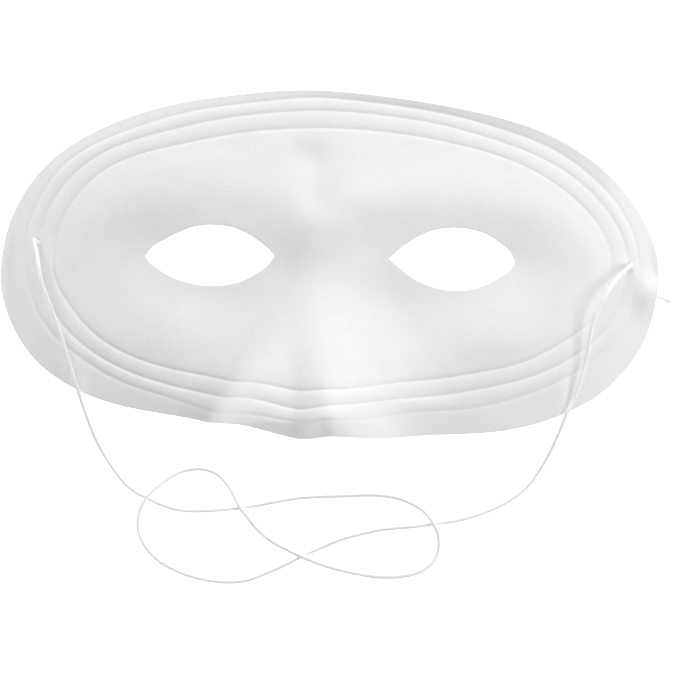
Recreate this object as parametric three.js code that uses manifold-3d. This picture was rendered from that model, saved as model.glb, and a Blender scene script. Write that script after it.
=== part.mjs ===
// White moulded half mask with an elastic head cord, lying face up.
// Units are millimetres, +Z is up and is the side the wearer shows.
// X runs across the face, +Y points to the forehead, -Y to the chin.
// The origin is under the middle of the shell, on the surface it rests on.
import * as THREE from 'three';
import { mergeVertices } from 'three/addons/utils/BufferGeometryUtils.js';
import Module from 'manifold-3d';

const wasm = await Module();
wasm.setup();

// ---------------------------------------------------------------- dimensions
const SHEET = 0.9;            // thickness of the moulded sheet
const ARCH_HEIGHT = 22.5;     // how far the middle stands above the two tips
const ARCH_HALF_WIDTH = 97.7; // half width at which the arch meets the table
const ARCH_POWER_LEFT = 2.2;  // the left end is a little flatter
const ARCH_POWER_RIGHT = 2.6; // than the right end
const DOME_DROP = 2.8;        // fall of the surface towards brow and cheek edge
const DOME_REACH = 52.0;
const SEAT = 0.5;             // how much the tips are pressed flat
const FOOT_SNAP = 0.75;       // lower face closer than this to the table lies on it
const CONTOUR_X = 98.0;       // scale of the contour series below
const CONTOUR_Y = 57.0;

// Rim, from the cut edge inwards: flat flange, two rounded beads, face panel.
// Each line is a closed contour, radius as a cosine and sine series.
const EDGE = [0.97785, -0.00025, 0.01277, 0.03867, -0.00955, -0.00152, 0.0138, -0.0176, 0.0068, -0.0002, -0.00595, -0.01197, 0.00141, 0.00277, 0.00609, 0.00866, -0.00084, -0.00235, -0.00428, -0.00426, 0.00122, 8e-05, 0.00182, 0.00166, 0.00012, 0.0001, -0.00082, -0.00043, -0.00072, -0.00027, 0.00016, -0.00027, 0.00103];
const GROOVE_OUTER = [0.9027, -0.00112, 0.03947, 0.03217, -5e-05, 0.00758, 0.02569, -0.00509, -0.00324, -0.00261, -0.00679, -0.01182, 0.00346, 0.00336, 0.00231, 0.00619, -0.00079, -0.0018, -0.00362, -0.00318, 3e-05, -0.00107, 0.00217, 0.00151, 0.00046, 0.00092, -0.00012, -0.00151, -0.00219, -0.00031, 0.00059, 0.0007, 0.00135];
const GROOVE_MIDDLE = [0.84314, -0.00144, 0.04082, 0.04882, 0.00366, 0.01081, 0.02373, -0.00252, -0.00363, 0.00096, -0.00587, -0.01389, 0.00271, 0.00216, 0.00422, 0.00571, -0.00018, -0.00149, -0.00403, -0.00255, 0.00083, 0.00082, 0.00297, 0.00072, -0.00073, -0.00032, -0.00071, -0.00162, 0.00041, 0.00036, 0.00014, 0.00052, 0.00028];
const GROOVE_INNER = [0.77022, -0.00292, 0.03608, 0.0695, 0.00587, 0.00807, 0.02394, 0.00209, -0.00342, 0.00229, -0.00591, -0.01198, 0.00158, 0.00155, 0.00456, 0.00632, 0.00058, -0.00222, -0.00363, -0.00084, 0.00031, -0.0011, 0.00157, 0.00025, -0.0007, -0.00021, -0.00084, -0.00119, -9e-05, -0.00053, 2e-05, 0.00019, 0.00095];

const FLANGE_RISE = 0.5;
const FLANGE_TURN = 1.6;
const FLANGE_TURN_AT = 1.0;
const FLANGE_TURN_SPAN = 0.95;
const FLANGE_FALL = 0.9;
const FLANGE_FALL_AT = -1.55;
const FLANGE_FALL_SPAN = 0.7;
const BEAD_RISE = 0.25;
const BEAD_CROWN = 0.26;
const GROOVE_DEPTH = 0.2;
const GROOVE_WIDTH = 0.55;
const PANEL_STEP = 0.45;
const PANEL_STEP_WIDTH = 1.8;

// Nose: a broad wedge that widens downwards, with a second ridge on it.
const NOSE_HEIGHT = 11.8;
const NOSE_TOP = 16.2;
const NOSE_LENGTH = 57.8;
const NOSE_POWER = 1.36;
const NOSE_X = 1.5;
const NOSE_LEAN = 0.149;
const NOSE_LEFT = 12.5;
const NOSE_LEFT_SPREAD = 0.359;
const NOSE_LEFT_FLARE = 0.0;
const NOSE_LEFT_SHAPE = 1.4;
const NOSE_LEFT_FIRMING = 0.7;
const NOSE_RIGHT = 15.0;
const NOSE_RIGHT_SPREAD = 0.712;
const NOSE_RIGHT_SHAPE = 0.96;
const RIDGE_HEIGHT = 7.0;
const RIDGE_TOP = 10.9;
const RIDGE_POWER = 2.0;
const RIDGE_X = -3.5;
const RIDGE_LEAN = -0.12;
const RIDGE_LEFT = 14.0;
const RIDGE_LEFT_SPREAD = -0.047;
const RIDGE_RIGHT = 24.08;
const RIDGE_RIGHT_SPREAD = 0.009;

// Face relief: brows, eye sockets, cheeks, temples, inner eye corners, forehead and its furrow.
const BROW_LEFT = 1.3;
const BROW_RIGHT = 1.6;
const BROW_X = 36.9;
const BROW_Y = 20.6;
const BROW_CURVE = 0.007;
const BROW_WIDTH = 10.8;
const BROW_LENGTH = 45.2;
const SOCKET_LEFT = 2.44;
const SOCKET_RIGHT = 1.66;
const SOCKET_LEFT_X = 29.1;
const SOCKET_RIGHT_X = 29.0;
const SOCKET_Y = -10.0;
const SOCKET_RX = 26.4;
const SOCKET_RY = 13.5;
const CHEEK_LEFT = 0.9;
const CHEEK_RIGHT = 1.21;
const CHEEK_X = 47.6;
const CHEEK_Y = -19.8;
const CHEEK_RX = 12.0;
const CHEEK_RY = 10.0;
const TEMPLE_LEFT = 1.6;
const TEMPLE_RIGHT = 2.2;
const TEMPLE_X = 54.3;
const TEMPLE_Y = 4.1;
const TEMPLE_RX = 11.8;
const TEMPLE_RY = 11.2;
const CORNER_LEFT = 1.0;
const CORNER_RIGHT = -0.68;
const CORNER_X = 12.5;
const CORNER_Y = -1.5;
const CORNER_R = 7.1;
const FURROW_DEPTH = 1.4;
const FURROW_X = -2.82;
const FURROW_LEAN = -0.105;
const FURROW_WIDTH = 5.3;
const FURROW_LOW = 13.7;
const FURROW_HIGH = 35.3;
const FOREHEAD = 1.9;
const FOREHEAD_X = 4.4;
const FOREHEAD_Y = 18.7;
const FOREHEAD_RX = 22.4;
const FOREHEAD_RY = 13.2;

// Right-hand tip: the rim lifts a little where the cord's loose end passes.
const TAIL_GAP = 2.8, TAIL_Y = -1.0, TAIL_SPREAD = 5.6;

// Eye holes, as closed outlines.
const LEFT_EYE = [[-16.11, 1.51], [-18.48, 3.98], [-21.35, 6.08], [-24.45, 8.0], [-27.81, 9.45], [-31.32, 10.21], [-34.92, 10.46], [-38.52, 10.26], [-42.03, 9.44], [-45.44, 8.07], [-48.74, 6.54], [-51.78, 4.71], [-53.98, 2.02], [-51.55, -0.68], [-48.57, -2.85], [-45.38, -4.67], [-42.02, -5.95], [-38.47, -6.79], [-34.86, -7.14], [-31.25, -7.06], [-27.65, -6.52], [-24.25, -5.26], [-21.09, -3.46], [-18.21, -1.25]];
const RIGHT_EYE = [[53.87, 3.95], [51.95, 6.82], [49.06, 8.82], [45.92, 10.44], [42.49, 11.36], [38.92, 11.77], [35.35, 11.62], [31.81, 11.05], [28.42, 9.96], [25.21, 8.27], [22.23, 6.24], [19.51, 3.94], [17.04, 1.4], [19.72, -0.64], [22.62, -2.64], [25.72, -4.42], [29.1, -5.62], [32.61, -6.36], [36.19, -6.6], [39.72, -6.2], [43.14, -5.19], [46.37, -3.51], [49.35, -1.44], [52.18, 0.88]];

// Cord holes, the cord and its knots.
const CORD_HOLE_RADIUS = 1.05;
const LEFT_HOLE = [-86.9, 7.83], RIGHT_HOLE = [88.2, 6.14];
const CORD_RADIUS = 0.575;
const CORD_SIDES = 8;
const CORD_STEPS = 80;
const KNOT_RADIUS = 1.75, KNOT_HALF_HEIGHT = 1.35;
const GAP = 0.32;
const HUMP = 1.7, HUMP_REACH = 14.0;
// Points of the free cord between the two holes; z is the middle of the cord.
const CORD_ROUTE = [[-85.65, 1.81, 12.0], [-84.97, -1.64, 13.6], [-84.13, -5.15, 14.4], [-82.92, -8.78, 14.6], [-81.27, -12.58, 14.4], [-79.33, -17.16, 13.8], [-77.39, -21.99, 13.0], [-75.58, -27.37, 12.0], [-73.8, -32.14, 11.3], [-71.93, -37.35, 10.7], [-69.89, -42.76, 7.2], [-67.63, -48.02, 4.4], [-64.91, -53.09, 2.1], [-61.83, -57.55, 1.15], [-58.45, -61.8, 0.68], [-54.8, -64.94, 0.68], [-50.92, -66.88, 0.68], [-45.59, -69.06, 0.68], [-41.18, -70.1, 0.68], [-36.82, -70.24, 0.68], [-30.15, -69.72, 0.68], [-23.79, -68.92, 0.68], [-18.02, -67.84, 0.68], [-12.25, -66.46, 0.68], [-6.47, -65.38, 0.68], [-0.09, -64.72, 0.68], [6.59, -64.34, 0.68], [13.27, -63.82, 0.68], [18.22, -63.95, 0.68], [22.61, -64.69, 0.68], [26.73, -66.33, 0.68], [29.98, -68.58, 0.68], [32.39, -71.75, 0.68], [33.92, -75.23, 0.68], [34.16, -79.05, 0.68], [32.66, -82.91, 0.68], [29.55, -85.65, 0.68], [24.67, -87.28, 0.68], [17.45, -87.82, 0.68], [11.07, -87.15, 0.68], [5.25, -86.03, 0.68], [-0.3, -84.61, 0.68], [-5.57, -82.73, 0.68], [-10.29, -80.54, 0.68], [-14.73, -78.05, 0.68], [-18.32, -75.22, 0.68], [-21.2, -72.08, 0.68], [-23.79, -68.92, 0.68], [-25.68, -65.43, 0.68], [-27.85, -61.95, 0.68], [-30.29, -59.51, 0.68], [-33.56, -57.99, 0.68], [-37.35, -57.82, 0.68], [-41.39, -58.84, 0.68], [-45.08, -61.05, 0.68], [-48.16, -63.82, 0.68], [-50.92, -66.88, 0.68], [-52.51, -70.18, 0.68], [-53.2, -74.04, 0.68], [-52.58, -77.85, 0.68], [-50.54, -81.31, 0.68], [-47.19, -84.72, 0.68], [-43.02, -87.21, 0.68], [-38.61, -88.96, 0.68], [-33.93, -90.12, 0.68], [-29.28, -90.7, 0.68], [-24.66, -90.69, 0.68], [-20.07, -89.8, 0.68], [-15.23, -87.74, 0.68], [-10.4, -85.38, 0.68], [-5.57, -82.73, 0.68], [-0.16, -80.05, 0.68], [5.55, -77.36, 0.68], [11.3, -75.55, 0.68], [17.06, -74.03, 0.68], [22.26, -73.27, 0.68], [27.47, -72.65, 0.68], [32.39, -71.75, 0.68], [37.31, -70.99, 0.68], [41.93, -69.81, 0.68], [46.55, -68.17, 0.68], [51.45, -65.94, 0.68], [56.05, -62.97, 0.68], [60.06, -59.28, 0.68], [62.82, -55.27, 1.9], [65.34, -50.95, 4.4], [67.49, -46.21, 8.2], [69.75, -40.55, 12.0], [71.49, -36.38, 12.1], [73.1, -32.05, 12.9], [74.56, -27.13, 13.7], [75.58, -21.94, 14.6], [76.18, -17.04, 15.4], [77.06, -12.75, 16.3], [78.57, -8.9, 16.7], [80.61, -5.1, 16.2], [82.92, -1.07, 14.4], [85.02, 2.07, 12.0]];
// Places where the later pass lies over the earlier one, as [index of point].
const CORD_OVER = [56, 47, 42, 32];

// ---------------------------------------------------------------- surface
function series(c, a) {
  let v = c[0];
  for (let n = 1; 2 * n < c.length + 1 && 2 * n - 1 < c.length; n++) {
    v += c[2 * n - 1] * Math.cos(n * a) + c[2 * n] * Math.sin(n * a);
  }
  return v;
}
const clamp = (v, lo, hi) => Math.max(lo, Math.min(hi, v));
const smooth = (v, lo, hi) => { const t = clamp((v - lo) / (hi - lo), 0, 1); return t * t * (3 - 2 * t); };
const bell = (v, w) => Math.exp(-(v * v) / (w * w));

// t is 0 on the cut edge, 1, 2 and 3 on the grooves; inside is mm past the last
// and past holds the distance from each groove.
function rimCoord(x, y) {
  const a = Math.atan2(y / CONTOUR_Y, x / CONTOUR_X);
  const r = Math.hypot(x / CONTOUR_X, y / CONTOUR_Y);
  const e = series(EDGE, a), g3 = series(GROOVE_OUTER, a), g2 = series(GROOVE_MIDDLE, a), g1 = series(GROOVE_INNER, a);
  const grad = r > 1e-6 ? Math.hypot(x / CONTOUR_X ** 2, y / CONTOUR_Y ** 2) / r : 1 / CONTOUR_Y;
  const past = [g3, g2, g1].map((g) => (g - r) / grad);
  if (r >= g3) return { t: Math.max(0, (e - r) / (e - g3)), inside: 0, past, a };
  if (r >= g2) return { t: 1 + (g3 - r) / (g3 - g2), inside: 0, past, a };
  if (r >= g1) return { t: 2 + (g2 - r) / (g2 - g1), inside: 0, past, a };
  return { t: 3, inside: past[2], past, a };
}

function arch(x) {
  const p = x < 0 ? ARCH_POWER_LEFT : ARCH_POWER_RIGHT;
  return ARCH_HEIGHT * (1 - Math.pow(Math.abs(x) / ARCH_HALF_WIDTH, p));
}

const rise = (u) => 0.5 + 0.5 * Math.cos(Math.PI * Math.min(1, Math.max(0, u)));
const mound = (x, y, cx, cy, rx, ry) => Math.exp(-(((x - cx) / rx) ** 2) - ((y - cy) / ry) ** 2);

function nose(x, y) {
  let du = x - (NOSE_X + NOSE_LEAN * y);
  let left = clamp(NOSE_LEFT - NOSE_LEFT_SPREAD * y + NOSE_LEFT_FLARE * clamp(-30 - y, 0, 30), 3, 50);
  let right = clamp(NOSE_RIGHT - NOSE_RIGHT_SPREAD * y, 3, 44);
  const u = clamp(du < 0 ? -du / left : du / right, 0, 1);
  const wedge = NOSE_HEIGHT * clamp((NOSE_TOP - y) / NOSE_LENGTH, 0, 1.15) ** NOSE_POWER * rise(u ** (du < 0 ? NOSE_LEFT_SHAPE + NOSE_LEFT_FIRMING * (1 - smooth(y, -46, -20)) : NOSE_RIGHT_SHAPE));
  du = x - (RIDGE_X + RIDGE_LEAN * y);
  left = clamp(RIDGE_LEFT - RIDGE_LEFT_SPREAD * y, 3, 44);
  right = clamp(RIDGE_RIGHT - RIDGE_RIGHT_SPREAD * y, 3, 44);
  return wedge + RIDGE_HEIGHT * clamp((RIDGE_TOP - y) / 56, 0, 1.15) ** RIDGE_POWER * rise(du < 0 ? -du / left : du / right);
}

function face(x, y) {
  let z = FOREHEAD * mound(x, y, FOREHEAD_X, FOREHEAD_Y, FOREHEAD_RX, FOREHEAD_RY);
  for (const [s, brow, socket, socketX, cheek, temple, corner] of [
    [-1, BROW_LEFT, SOCKET_LEFT, SOCKET_LEFT_X, CHEEK_LEFT, TEMPLE_LEFT, CORNER_LEFT],
    [1, BROW_RIGHT, SOCKET_RIGHT, SOCKET_RIGHT_X, CHEEK_RIGHT, TEMPLE_RIGHT, CORNER_RIGHT]]) {
    const m = s * x;
    z += brow * bell(y - BROW_Y + BROW_CURVE * (m - BROW_X) ** 2, BROW_WIDTH) * bell(m - BROW_X, BROW_LENGTH);
    z -= socket * mound(m, y, socketX, SOCKET_Y, SOCKET_RX, SOCKET_RY);
    z += cheek * mound(m, y, CHEEK_X, CHEEK_Y, CHEEK_RX, CHEEK_RY);
    z -= temple * mound(m, y, TEMPLE_X, TEMPLE_Y, TEMPLE_RX, TEMPLE_RY);
    z -= corner * mound(m, y, CORNER_X, CORNER_Y, CORNER_R, CORNER_R);
  }
  return z - FURROW_DEPTH * bell(x - FURROW_X - FURROW_LEAN * y, FURROW_WIDTH)
    * smooth(y, FURROW_LOW - 6, FURROW_LOW + 6) * (1 - smooth(y, FURROW_HIGH - 6, FURROW_HIGH + 6));
}

function topHeight(x, y) {
  const { t, inside, past, a } = rimCoord(x, y);
  let z = arch(x) - DOME_DROP * (y / DOME_REACH) ** 2 + nose(x, y) - SEAT;
  if (t < 1) z += FLANGE_RISE * t + FLANGE_TURN * (1 - t) * bell(a - FLANGE_TURN_AT, FLANGE_TURN_SPAN) * (1 - smooth(x, 78, 90));
  if (t < 1) z -= FLANGE_FALL * (1 - t) * bell(a - FLANGE_FALL_AT, FLANGE_FALL_SPAN);
  else z += FLANGE_RISE + BEAD_RISE * (Math.min(t, 3) - 1);
  if (t > 1 && t < 3) z += BEAD_CROWN * Math.abs(Math.sin(Math.PI * t));
  for (const p of past) z -= GROOVE_DEPTH * bell(p, GROOVE_WIDTH);
  if (t >= 3) z += PANEL_STEP * (1 - Math.exp(-inside / PANEL_STEP_WIDTH)) + face(x, y) * smooth(inside, 0, 8);
  z += TAIL_GAP * bell(y - TAIL_Y, TAIL_SPREAD) * smooth(x, 88, 94);
  return Math.max(z, SHEET);
}

function bottomHeight(x, y) {
  const d = 0.25;
  const gx = (topHeight(x + d, y) - topHeight(x - d, y)) / (2 * d);
  const gy = (topHeight(x, y + d) - topHeight(x, y - d)) / (2 * d);
  const t = SHEET * Math.min(1.6, Math.sqrt(1 + gx * gx + gy * gy));
  const z = topHeight(x, y) - t;
  return z < FOOT_SNAP ? 0 : z;
}

// ---------------------------------------------------------------- helpers
function solidOf(geometry) {
  const g = geometry.clone();
  for (const name of Object.keys(g.attributes)) if (name !== 'position') g.deleteAttribute(name);
  const m = mergeVertices(g, 1e-5);
  return new wasm.Manifold(new wasm.Mesh({
    numProp: 3,
    vertProperties: new Float32Array(m.attributes.position.array),
    triVerts: new Uint32Array(m.index.array),
  }));
}

function geometryOf(solid) {
  const m = solid.getMesh();
  const g = new THREE.BufferGeometry();
  g.setAttribute('position', new THREE.BufferAttribute(new Float32Array(m.vertProperties), 3));
  g.setIndex(new THREE.BufferAttribute(new Uint32Array(m.triVerts), 1));
  g.computeVertexNormals();
  return g;
}

function prism(points, z0, z1) {
  const shape = new THREE.Shape(points.map(([x, y]) => new THREE.Vector2(x, y)));
  const g = new THREE.ExtrudeGeometry(shape, { depth: z1 - z0, bevelEnabled: false, steps: 1 });
  g.translate(0, 0, z0);
  return g;
}

function circle(cx, cy, r, n) {
  return Array.from({ length: n }, (_, i) => [cx + r * Math.cos((2 * Math.PI * i) / n), cy + r * Math.sin((2 * Math.PI * i) / n)]);
}

function tube(points, steps, radius = CORD_RADIUS, sides = CORD_SIDES) {
  const curve = new THREE.CatmullRomCurve3(points, false, 'centripetal');
  curve.arcLengthDivisions = 2000;
  const shape = new THREE.Shape(circle(0, 0, radius, sides).map(([x, y]) => new THREE.Vector2(x, y)));
  return new THREE.ExtrudeGeometry(shape, { steps, bevelEnabled: false, extrudePath: curve });
}

// ---------------------------------------------------------------- shell
const AROUND = 88;
const INNER_RINGS = 10;
const STEP_RING = 0.972; // a ring just inside the innermost groove
const RIM_STATIONS = [2.5, 2, 1.5, 1, 0.4, 0];

function shellGeometry() {
  const rings = [];
  for (let i = 1; i <= INNER_RINGS; i++) {
    const f = i / INNER_RINGS;
    rings.push((a) => series(GROOVE_INNER, a) * (i === INNER_RINGS ? STEP_RING : f));
  }
  rings.push((a) => series(GROOVE_INNER, a));
  for (const t of RIM_STATIONS) {
    rings.push((a) => {
      const e = series(EDGE, a), g3 = series(GROOVE_OUTER, a), g2 = series(GROOVE_MIDDLE, a), g1 = series(GROOVE_INNER, a);
      if (t >= 2) return g1 + (g2 - g1) * (3 - t);
      if (t >= 1) return g2 + (g3 - g2) * (2 - t);
      return g3 + (e - g3) * (1 - t);
    });
  }
  const pos = [];
  const idx = [];
  const layer = (heightAt) => {
    const base = pos.length / 3;
    pos.push(0, 0, heightAt(0, 0));
    for (const ring of rings) {
      for (let j = 0; j < AROUND; j++) {
        const a = (2 * Math.PI * j) / AROUND;
        const r = ring(a);
        const x = CONTOUR_X * r * Math.cos(a), y = CONTOUR_Y * r * Math.sin(a);
        pos.push(x, y, heightAt(x, y));
      }
    }
    return base;
  };
  const top = layer(topHeight);
  const bottom = layer(bottomHeight);
  const at = (base, k, j) => base + 1 + k * AROUND + ((j + AROUND) % AROUND);
  for (const [base, up] of [[top, true], [bottom, false]]) {
    const tri = (a, b, c) => (up ? idx.push(a, b, c) : idx.push(a, c, b));
    for (let j = 0; j < AROUND; j++) {
      tri(base, at(base, 0, j), at(base, 0, j + 1));
      for (let k = 0; k + 1 < rings.length; k++) {
        tri(at(base, k, j), at(base, k + 1, j), at(base, k + 1, j + 1));
        tri(at(base, k, j), at(base, k + 1, j + 1), at(base, k, j + 1));
      }
    }
  }
  const last = rings.length - 1;
  for (let j = 0; j < AROUND; j++) {
    idx.push(at(top, last, j), at(bottom, last, j), at(bottom, last, j + 1));
    idx.push(at(top, last, j), at(bottom, last, j + 1), at(top, last, j + 1));
  }
  const g = new THREE.BufferGeometry();
  g.setAttribute('position', new THREE.BufferAttribute(new Float32Array(pos), 3));
  g.setIndex(idx);
  return g;
}

let shell = solidOf(shellGeometry());
for (const eye of [LEFT_EYE, RIGHT_EYE]) shell = shell.subtract(solidOf(prism(eye, -5, 70)));
for (const [x, y] of [LEFT_HOLE, RIGHT_HOLE]) shell = shell.subtract(solidOf(prism(circle(x, y, CORD_HOLE_RADIUS, 14), -5, 70)));

// ---------------------------------------------------------------- cord
function holeAxis([x, y]) {
  const d = 0.8;
  const gx = (topHeight(x + d, y) - topHeight(x - d, y)) / (2 * d);
  const gy = (topHeight(x, y + d) - topHeight(x, y - d)) / (2 * d);
  return new THREE.Vector3(-gx * 0.35, -gy * 0.35, 1).normalize();
}
function knotCentre([x, y]) {
  const low = Math.min(...circle(x, y, 1.2, 8).map(([px, py]) => bottomHeight(px, py)));
  return new THREE.Vector3(x, y, Math.max(KNOT_HALF_HEIGHT + GAP, low - GAP - KNOT_HALF_HEIGHT));
}
const leftKnotAt = knotCentre(LEFT_HOLE), rightKnotAt = knotCentre(RIGHT_HOLE);
const leftAxis = holeAxis(LEFT_HOLE), rightAxis = holeAxis(RIGHT_HOLE);
const above = (hole, axis, h) => new THREE.Vector3(hole[0], hole[1], topHeight(...hole)).addScaledVector(axis, h);

const route = CORD_ROUTE.map(([x, y, z]) => new THREE.Vector3(x, y, z));
// lift the over-passes in long low humps
const along = [0];
for (let i = 1; i < route.length; i++) along.push(along[i - 1] + route[i].distanceTo(route[i - 1]));
route.forEach((p, i) => {
  for (const k of CORD_OVER) {
    const s = Math.abs(along[i] - along[k]);
    if (s < HUMP_REACH) p.z += HUMP * Math.cos((Math.PI * s) / (2 * HUMP_REACH)) ** 2;
  }
});
const cordPath = [
  leftKnotAt.clone().addScaledVector(new THREE.Vector3(0, 0, 1), KNOT_HALF_HEIGHT + GAP),
  above(LEFT_HOLE, leftAxis, 0.2),
  above(LEFT_HOLE, leftAxis, 3.0),
  ...route,
  above(RIGHT_HOLE, rightAxis, 3.0),
  above(RIGHT_HOLE, rightAxis, 0.2),
  rightKnotAt.clone().addScaledVector(new THREE.Vector3(0, 0, 1), KNOT_HALF_HEIGHT + GAP),
];

function knotGeometry(at) {
  const g = new THREE.SphereGeometry(1, 14, 8);
  g.rotateX(Math.PI / 2);
  g.scale(KNOT_RADIUS, KNOT_RADIUS, KNOT_HALF_HEIGHT);
  g.translate(at.x, at.y, at.z);
  return g;
}

const LEFT_TAIL = [[-82.6, 10.9, 0.75], [-80.4, 12.4, 0.64], [-77.6, 13.6, 0.62], [-74.8, 13.8, 0.62]];
const RIGHT_TAIL = [[90.2, 4.2, 0.72], [92.4, 1.6, 0.64], [94.6, -0.1, 0.62], [97.0, -1.0, 0.62], [99.2, -2.0, 0.62], [101.1, -2.75, 0.62]];
function tailPoints(list, knot) {
  const pts = list.map(([x, y, z]) => new THREE.Vector3(x, y, z));
  const out = pts[0].clone().sub(knot);
  const k = 1 / Math.hypot(out.x / (KNOT_RADIUS + GAP), out.y / (KNOT_RADIUS + GAP), out.z / (KNOT_HALF_HEIGHT + GAP));
  return [knot.clone().addScaledVector(out, Math.min(1, k + 0.1)), ...pts];
}

// ---------------------------------------------------------------- assembly
const moulded = new THREE.MeshStandardMaterial({ color: 0xf1f1ef, roughness: 0.9, metalness: 0 });
const elastic = new THREE.MeshStandardMaterial({ color: 0xf6f6f4, roughness: 0.75, metalness: 0 });
const object = new THREE.Group();
function add(name, geometry, material) {
  const mesh = new THREE.Mesh(geometry, material.clone());
  mesh.name = name;
  object.add(mesh);
}
add('mask_shell', geometryOf(shell), moulded);
add('elastic_cord', tube(cordPath, CORD_STEPS), elastic);
add('left_knot', knotGeometry(leftKnotAt), elastic);
add('right_knot', knotGeometry(rightKnotAt), elastic);
add('left_cord_end', tube(tailPoints(LEFT_TAIL, leftKnotAt), 6), elastic);
add('right_cord_end', tube(tailPoints(RIGHT_TAIL, rightKnotAt), 9), elastic);

export default object;
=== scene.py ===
import math
import bpy
import numpy as np
from mathutils import Matrix, Vector
from mathutils.geometry import delaunay_2d_cdt


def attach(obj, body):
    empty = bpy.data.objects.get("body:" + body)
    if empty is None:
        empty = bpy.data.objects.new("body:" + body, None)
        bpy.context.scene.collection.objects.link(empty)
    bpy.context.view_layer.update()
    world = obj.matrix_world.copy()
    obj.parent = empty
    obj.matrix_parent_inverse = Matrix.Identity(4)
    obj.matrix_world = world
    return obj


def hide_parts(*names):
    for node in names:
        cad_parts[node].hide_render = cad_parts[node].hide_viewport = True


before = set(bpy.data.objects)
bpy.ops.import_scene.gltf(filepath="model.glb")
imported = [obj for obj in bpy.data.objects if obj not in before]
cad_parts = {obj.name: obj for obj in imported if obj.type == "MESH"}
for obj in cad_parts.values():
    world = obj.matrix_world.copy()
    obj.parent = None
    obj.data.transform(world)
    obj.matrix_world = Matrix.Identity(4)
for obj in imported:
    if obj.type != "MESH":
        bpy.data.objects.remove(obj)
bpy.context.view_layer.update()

MM = 0.001
scene = bpy.context.scene
coll = scene.collection

# ------------------------------------------------------------------ camera
AIM = np.array([2.58, -18.957, 10.0])
ELEVATION, ROLL, DISTANCE, SCALE = math.radians(76.0), math.radians(1.9), 900.0, 3.43
view_dir = np.array([0.0, -math.cos(ELEVATION), math.sin(ELEVATION)])
right = np.array([1.0, 0.0, 0.0])
up = np.cross(view_dir, right)
cam_right = right * math.cos(ROLL) + up * math.sin(ROLL)
cam_up = -right * math.sin(ROLL) + up * math.cos(ROLL)
cam_data = bpy.data.cameras.new("camera")
cam_data.sensor_fit = "HORIZONTAL"
cam_data.sensor_width = 36.0
cam_data.lens = 36.0 * SCALE * DISTANCE / 673.0
cam_data.clip_start, cam_data.clip_end = 0.05, 20.0
camera = bpy.data.objects.new("camera", cam_data)
coll.objects.link(camera)
place = (AIM + DISTANCE * view_dir) * MM
camera.matrix_world = Matrix((
    (cam_right[0], cam_up[0], view_dir[0], place[0]),
    (cam_right[1], cam_up[1], view_dir[1], place[1]),
    (cam_right[2], cam_up[2], view_dir[2], place[2]),
    (0, 0, 0, 1)))
scene.camera = camera

# ------------------------------------------------------------------ dimensions, as in the CAD
SHEET = 0.9
ARCH_HEIGHT, ARCH_HALF_WIDTH = 22.5, 97.7
ARCH_POWER_LEFT, ARCH_POWER_RIGHT = 2.2, 2.6
SEAT = 0.5
CX, CY = 98.0, 57.0
EDGE = [0.97785, -0.00025, 0.01277, 0.03867, -0.00955, -0.00152, 0.0138, -0.0176, 0.0068, -0.0002, -0.00595, -0.01197, 0.00141, 0.00277, 0.00609, 0.00866, -0.00084, -0.00235, -0.00428, -0.00426, 0.00122, 8e-05, 0.00182, 0.00166, 0.00012, 0.0001, -0.00082, -0.00043, -0.00072, -0.00027, 0.00016, -0.00027, 0.00103]
GROOVE_OUTER = [0.9027, -0.00112, 0.03947, 0.03217, -5e-05, 0.00758, 0.02569, -0.00509, -0.00324, -0.00261, -0.00679, -0.01182, 0.00346, 0.00336, 0.00231, 0.00619, -0.00079, -0.0018, -0.00362, -0.00318, 3e-05, -0.00107, 0.00217, 0.00151, 0.00046, 0.00092, -0.00012, -0.00151, -0.00219, -0.00031, 0.00059, 0.0007, 0.00135]
GROOVE_MIDDLE = [0.84314, -0.00144, 0.04082, 0.04882, 0.00366, 0.01081, 0.02373, -0.00252, -0.00363, 0.00096, -0.00587, -0.01389, 0.00271, 0.00216, 0.00422, 0.00571, -0.00018, -0.00149, -0.00403, -0.00255, 0.00083, 0.00082, 0.00297, 0.00072, -0.00073, -0.00032, -0.00071, -0.00162, 0.00041, 0.00036, 0.00014, 0.00052, 0.00028]
GROOVE_INNER = [0.77022, -0.00292, 0.03608, 0.0695, 0.00587, 0.00807, 0.02394, 0.00209, -0.00342, 0.00229, -0.00591, -0.01198, 0.00158, 0.00155, 0.00456, 0.00632, 0.00058, -0.00222, -0.00363, -0.00084, 0.00031, -0.0011, 0.00157, 0.00025, -0.0007, -0.00021, -0.00084, -0.00119, -9e-05, -0.00053, 2e-05, 0.00019, 0.00095]
LEFT_EYE = [[-16.11, 1.51], [-18.48, 3.98], [-21.35, 6.08], [-24.45, 8.0], [-27.81, 9.45], [-31.32, 10.21], [-34.92, 10.46], [-38.52, 10.26], [-42.03, 9.44], [-45.44, 8.07], [-48.74, 6.54], [-51.78, 4.71], [-53.98, 2.02], [-51.55, -0.68], [-48.57, -2.85], [-45.38, -4.67], [-42.02, -5.95], [-38.47, -6.79], [-34.86, -7.14], [-31.25, -7.06], [-27.65, -6.52], [-24.25, -5.26], [-21.09, -3.46], [-18.21, -1.25]]
RIGHT_EYE = [[53.87, 3.95], [51.95, 6.82], [49.06, 8.82], [45.92, 10.44], [42.49, 11.36], [38.92, 11.77], [35.35, 11.62], [31.81, 11.05], [28.42, 9.96], [25.21, 8.27], [22.23, 6.24], [19.51, 3.94], [17.04, 1.4], [19.72, -0.64], [22.62, -2.64], [25.72, -4.42], [29.1, -5.62], [32.61, -6.36], [36.19, -6.6], [39.72, -6.2], [43.14, -5.19], [46.37, -3.51], [49.35, -1.44], [52.18, 0.88]]
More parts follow.
